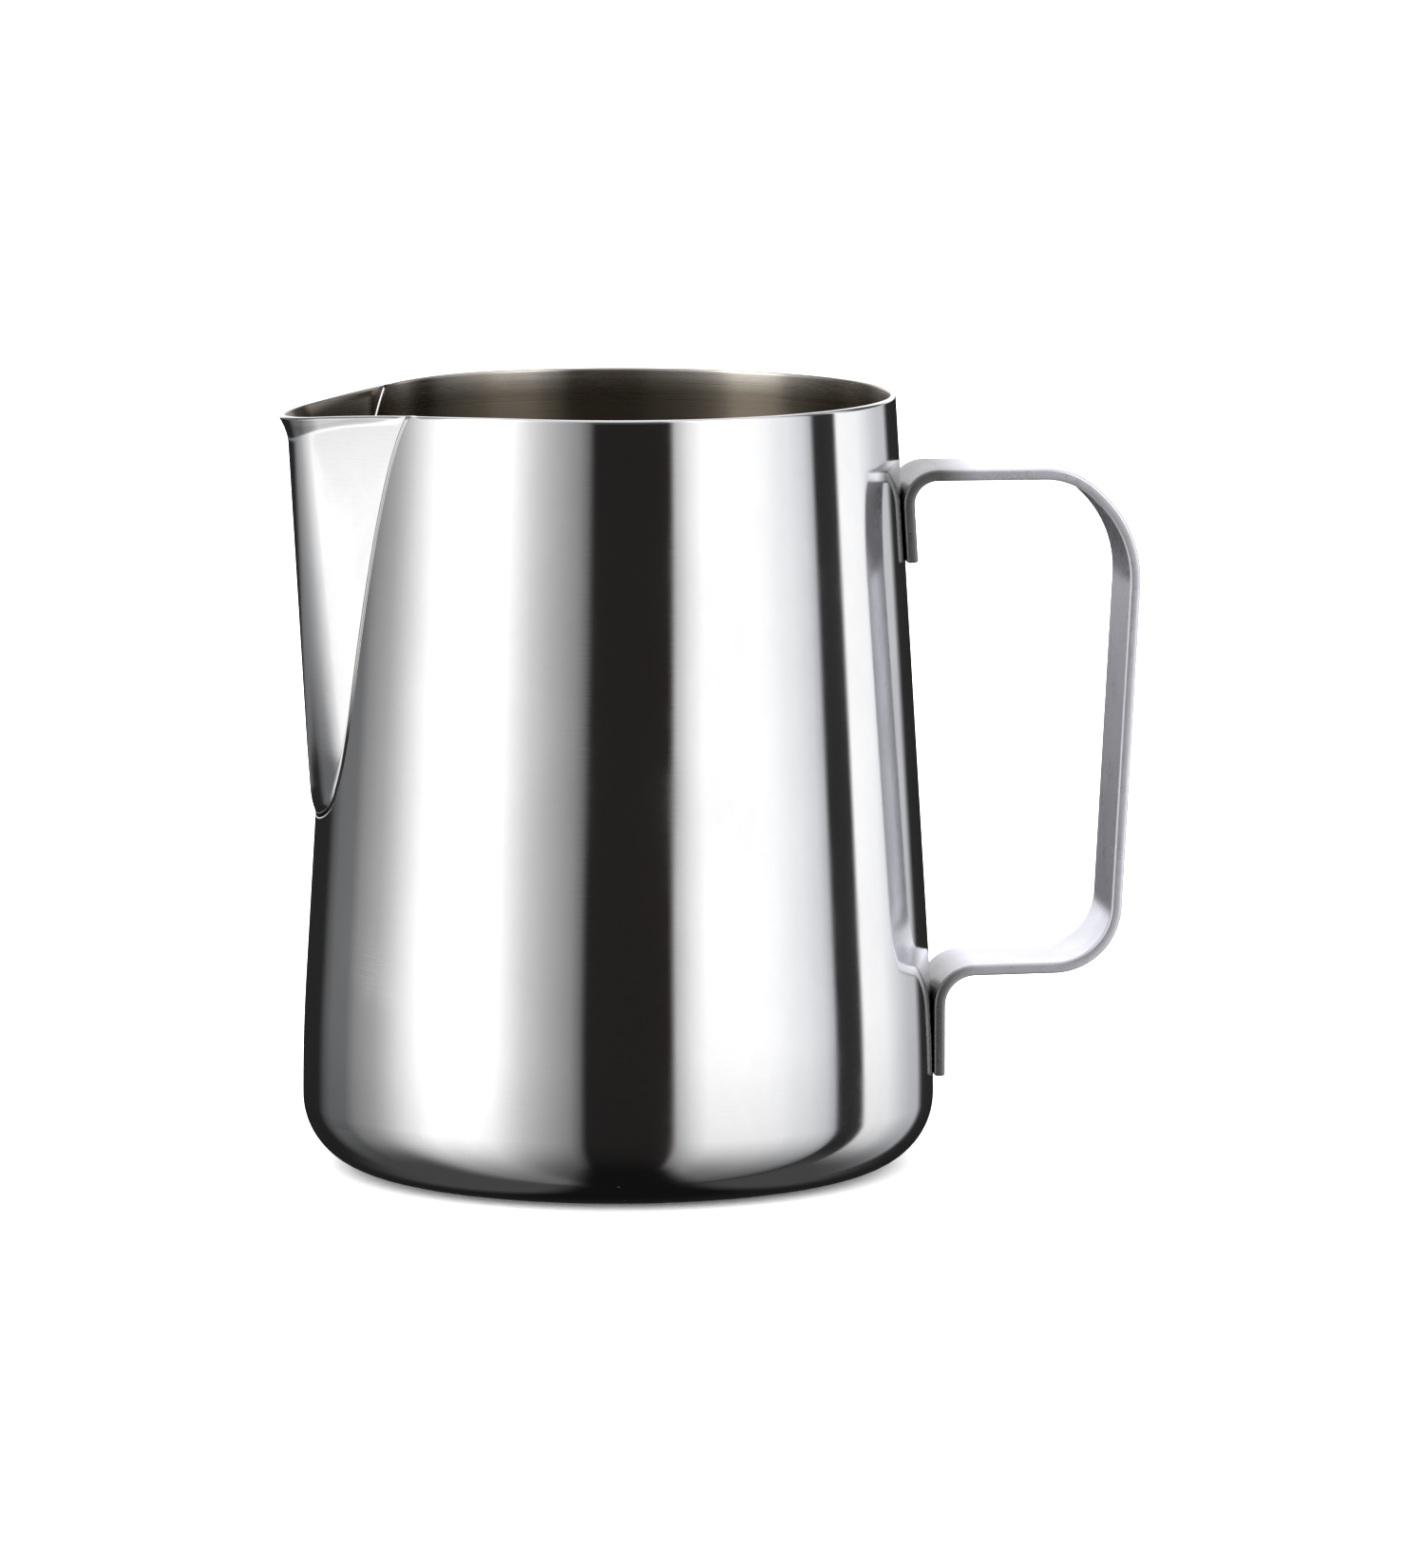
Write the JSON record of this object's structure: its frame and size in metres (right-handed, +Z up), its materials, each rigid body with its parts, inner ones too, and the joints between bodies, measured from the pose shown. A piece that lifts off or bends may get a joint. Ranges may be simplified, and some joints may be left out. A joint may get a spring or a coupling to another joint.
{
  "type": "milk frothing pitcher",
  "caption": "Polished steel frothing jug with tapered round body, welded pointed pouring spout and a flat strip handle spot-welded opposite.",
  "frame": {"origin": "centre of the standing ring on the table plane, on the axis of the round body", "axes": "+Z up along the body's axis, +X towards the handle, -X towards the spout, Y across"},
  "size_m": [0.122, 0.09, 0.11],
  "materials": {
    "cup_steel": "stainless steel, mirror polished outside and satin inside",
    "spout_steel": "stainless steel, mirror polished outside and satin inside",
    "handle_steel": "stainless steel strip, polished, fine lengthwise grain",
    "weld_metal": "ground and polished weld seam"
  },
  "bodies": {
    "root": {"pitcher_body": "cup_steel", "pouring_spout": "spout_steel", "spout_seam_weld": "weld_metal", "handle_strip": "handle_steel", "upper_tab_welds": "weld_metal", "lower_tab_welds": "weld_metal"}
  },
  "joints": []
}
